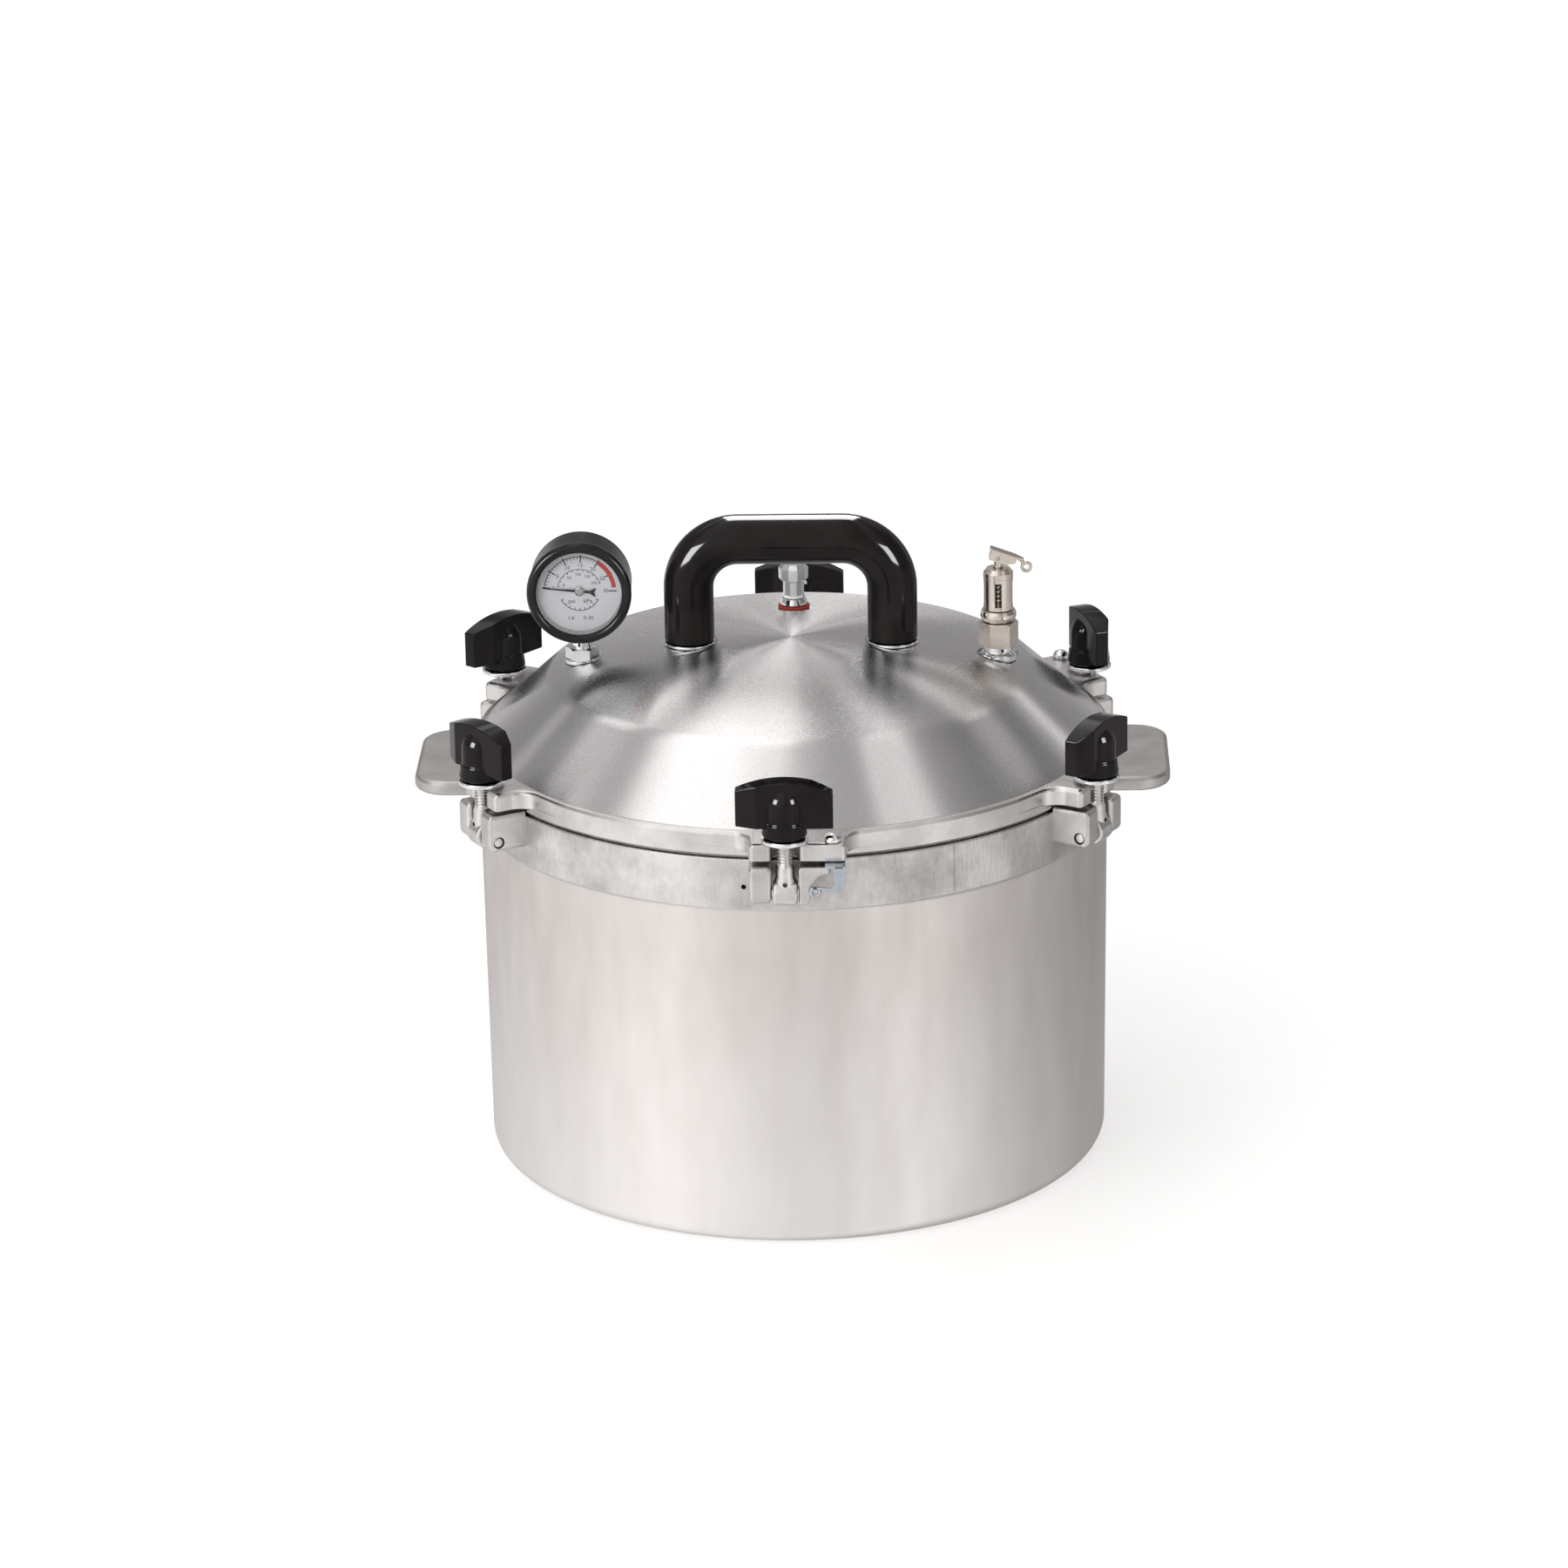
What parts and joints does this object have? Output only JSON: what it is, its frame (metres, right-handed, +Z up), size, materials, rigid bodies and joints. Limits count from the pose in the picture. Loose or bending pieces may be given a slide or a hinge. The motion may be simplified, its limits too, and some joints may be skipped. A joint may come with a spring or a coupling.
{
  "type": "pressure canner",
  "caption": "Cast pressure canner: straight pot, domed lid held by swing bolts with wing nuts, dial gauge, release valve, safety plug and jar rack.",
  "frame": {"origin": "centre of the pot's flat base", "axes": "+Z up through the middle of the lid; -Y is the front, where the gauge faces; +X to the right"},
  "size_m": [0.379, 0.372, 0.328],
  "materials": {
    "cast_aluminium": "satin cast aluminium body with a rough machined band under the rim",
    "turned_aluminium": "lathe-brushed aluminium",
    "black_phenolic": "glossy moulded phenolic",
    "chrome": "polished chrome plate",
    "steel": "plain machined steel",
    "bolt_steel": "plated steel with a rolled thread",
    "zinc_steel": "bluish zinc plate",
    "brass": "machined brass",
    "black_enamel": "glossy black enamel",
    "lens": "clear lens",
    "dial_white": "printed white dial",
    "pointer_black": "matt black needle with a silver hub",
    "nickel": "warm nickel plate",
    "red_rubber": "red silicone",
    "rack_aluminium": "punched sheet"
  },
  "bodies": {
    "pot": {"pot": "cast_aluminium", "clamp_pin_1": "steel", "clamp_pin_2": "steel", "clamp_pin_3": "steel", "clamp_pin_4": "steel", "clamp_pin_5": "steel", "clamp_pin_6": "steel"},
    "lid": {"lid": "turned_aluminium", "lid_handle": "black_phenolic", "handle_washer_left": "chrome", "handle_washer_right": "chrome", "handle_screw_left": "steel", "handle_screw_right": "steel", "guide_clip_front": "zinc_steel", "guide_clip_back": "zinc_steel", "guide_screw_front": "chrome", "guide_screw_back": "chrome", "gauge_stem": "chrome", "gauge_nut": "brass", "gauge_case": "black_enamel", "gauge_bezel": "black_enamel", "gauge_lens": "lens", "gauge_dial": "dial_white", "gauge_bourdon_tube": "brass", "valve_fitting": "chrome", "valve_nut": "brass", "valve_body": "nickel", "valve_collar": "nickel", "valve_barrel": "nickel", "valve_spring": "steel", "plug_gasket": "red_rubber", "plug_fitting": "chrome", "plug_nut": "brass"},
    "swing_bolt_1": {"swing_bolt_1": "bolt_steel"},
    "nut_washer_1": {"nut_washer_1": "chrome"},
    "wing_nut_1": {"wing_nut_1": "black_phenolic"},
    "swing_bolt_2": {"swing_bolt_2": "bolt_steel"},
    "nut_washer_2": {"nut_washer_2": "chrome"},
    "wing_nut_2": {"wing_nut_2": "black_phenolic"},
    "swing_bolt_3": {"swing_bolt_3": "bolt_steel"},
    "nut_washer_3": {"nut_washer_3": "chrome"},
    "wing_nut_3": {"wing_nut_3": "black_phenolic"},
    "swing_bolt_4": {"swing_bolt_4": "bolt_steel"},
    "nut_washer_4": {"nut_washer_4": "chrome"},
    "wing_nut_4": {"wing_nut_4": "black_phenolic"},
    "swing_bolt_5": {"swing_bolt_5": "bolt_steel"},
    "nut_washer_5": {"nut_washer_5": "chrome"},
    "wing_nut_5": {"wing_nut_5": "black_phenolic"},
    "swing_bolt_6": {"swing_bolt_6": "bolt_steel"},
    "nut_washer_6": {"nut_washer_6": "chrome"},
    "wing_nut_6": {"wing_nut_6": "black_phenolic"},
    "gauge_pointer": {"gauge_pointer": "pointer_black"},
    "valve_stem": {"valve_stem": "nickel", "valve_lever_pin": "steel"},
    "valve_lever": {"valve_lever": "nickel"},
    "plug_cap": {"plug_cap": "chrome"},
    "jar_rack": {"jar_rack": "rack_aluminium"}
  },
  "joints": [
    {"name": "lid_lift", "type": "slide", "parent": "pot", "child": "lid", "axis": [0, 0, 1], "range_m": [0, 0.0295]},
    {"name": "bolt_1_swing", "type": "hinge", "parent": "pot", "child": "swing_bolt_1", "pos_m": [0, -0.1745, 0.192], "axis": [1, 0, 0], "range_deg": [0, 170]},
    {"name": "washer_1_rise", "type": "slide", "parent": "swing_bolt_1", "child": "nut_washer_1", "axis": [0, 0, 1], "range_m": [0, 0.00953]},
    {"name": "nut_1_turn", "type": "hinge", "parent": "nut_washer_1", "child": "wing_nut_1", "pos_m": [0, -0.1745, 0.22], "axis": [0, 0, 1], "range_deg": [0, 2160]},
    {"name": "bolt_2_swing", "type": "hinge", "parent": "pot", "child": "swing_bolt_2", "pos_m": [0.15112, -0.08725, 0.192], "axis": [0.5, 0.866, 0], "range_deg": [0, 170]},
    {"name": "washer_2_rise", "type": "slide", "parent": "swing_bolt_2", "child": "nut_washer_2", "axis": [0, 0, 1], "range_m": [0, 0.00953]},
    {"name": "nut_2_turn", "type": "hinge", "parent": "nut_washer_2", "child": "wing_nut_2", "pos_m": [0.15112, -0.08725, 0.22], "axis": [0, 0, 1], "range_deg": [0, 2160]},
    {"name": "bolt_3_swing", "type": "hinge", "parent": "pot", "child": "swing_bolt_3", "pos_m": [0.15112, 0.08725, 0.192], "axis": [-0.5, 0.866, 0], "range_deg": [0, 170]},
    {"name": "washer_3_rise", "type": "slide", "parent": "swing_bolt_3", "child": "nut_washer_3", "axis": [0, 0, 1], "range_m": [0, 0.00953]},
    {"name": "nut_3_turn", "type": "hinge", "parent": "nut_washer_3", "child": "wing_nut_3", "pos_m": [0.15112, 0.08725, 0.22], "axis": [0, 0, 1], "range_deg": [0, 2160]},
    {"name": "bolt_4_swing", "type": "hinge", "parent": "pot", "child": "swing_bolt_4", "pos_m": [0, 0.1745, 0.192], "axis": [-1, 0, 0], "range_deg": [0, 170]},
    {"name": "washer_4_rise", "type": "slide", "parent": "swing_bolt_4", "child": "nut_washer_4", "axis": [0, 0, 1], "range_m": [0, 0.00953]},
    {"name": "nut_4_turn", "type": "hinge", "parent": "nut_washer_4", "child": "wing_nut_4", "pos_m": [0, 0.1745, 0.22], "axis": [0, 0, 1], "range_deg": [0, 2160]},
    {"name": "bolt_5_swing", "type": "hinge", "parent": "pot", "child": "swing_bolt_5", "pos_m": [-0.15112, 0.08725, 0.192], "axis": [-0.5, -0.866, 0], "range_deg": [0, 170]},
    {"name": "washer_5_rise", "type": "slide", "parent": "swing_bolt_5", "child": "nut_washer_5", "axis": [0, 0, 1], "range_m": [0, 0.00953]},
    {"name": "nut_5_turn", "type": "hinge", "parent": "nut_washer_5", "child": "wing_nut_5", "pos_m": [-0.15112, 0.08725, 0.22], "axis": [0, 0, 1], "range_deg": [0, 2160]},
    {"name": "bolt_6_swing", "type": "hinge", "parent": "pot", "child": "swing_bolt_6", "pos_m": [-0.15112, -0.08725, 0.192], "axis": [0.5, -0.866, 0], "range_deg": [0, 170]},
    {"name": "washer_6_rise", "type": "slide", "parent": "swing_bolt_6", "child": "nut_washer_6", "axis": [0, 0, 1], "range_m": [0, 0.00953]},
    {"name": "nut_6_turn", "type": "hinge", "parent": "nut_washer_6", "child": "wing_nut_6", "pos_m": [-0.15112, -0.08725, 0.22], "axis": [0, 0, 1], "range_deg": [0, 2160]},
    {"name": "pointer_sweep", "type": "hinge", "parent": "lid", "child": "gauge_pointer", "pos_m": [-0.1052, 0, 0.2919], "axis": [0, 1, 0], "range_deg": [0, 176]},
    {"name": "valve_stem_lift", "type": "slide", "parent": "lid", "child": "valve_stem", "axis": [0, 0, 1], "range_m": [0, 0.0025], "deforming": ["valve_spring"]},
    {"name": "valve_lever_turn", "type": "hinge", "parent": "valve_stem", "child": "valve_lever", "pos_m": [0.104, 0, 0.305], "axis": [0, -1, 0], "range_deg": [0, 85]},
    {"name": "plug_rise", "type": "slide", "parent": "lid", "child": "plug_cap", "axis": [0, 0, 1], "range_m": [0, 0.004]},
    {"name": "rack_lift", "type": "slide", "parent": "pot", "child": "jar_rack", "axis": [0, 0, 1], "range_m": [0, 0.15]}
  ],
  "couplings": [
    {"joint": "bolt_1_swing", "follows": "lid_lift", "rad_per_m": 100.58},
    {"joint": "washer_1_rise", "follows": "nut_1_turn", "m_per_rad": 0.00025266},
    {"joint": "bolt_2_swing", "follows": "lid_lift", "rad_per_m": 100.58},
    {"joint": "washer_2_rise", "follows": "nut_2_turn", "m_per_rad": 0.00025266},
    {"joint": "bolt_3_swing", "follows": "lid_lift", "rad_per_m": 100.58},
    {"joint": "washer_3_rise", "follows": "nut_3_turn", "m_per_rad": 0.00025266},
    {"joint": "bolt_4_swing", "follows": "lid_lift", "rad_per_m": 100.58},
    {"joint": "washer_4_rise", "follows": "nut_4_turn", "m_per_rad": 0.00025266},
    {"joint": "bolt_5_swing", "follows": "lid_lift", "rad_per_m": 100.58},
    {"joint": "washer_5_rise", "follows": "nut_5_turn", "m_per_rad": 0.00025266},
    {"joint": "bolt_6_swing", "follows": "lid_lift", "rad_per_m": 100.58},
    {"joint": "washer_6_rise", "follows": "nut_6_turn", "m_per_rad": 0.00025266},
    {"joint": "valve_stem_lift", "follows": "valve_lever_turn", "m_per_rad": 0.0016852}
  ]
}
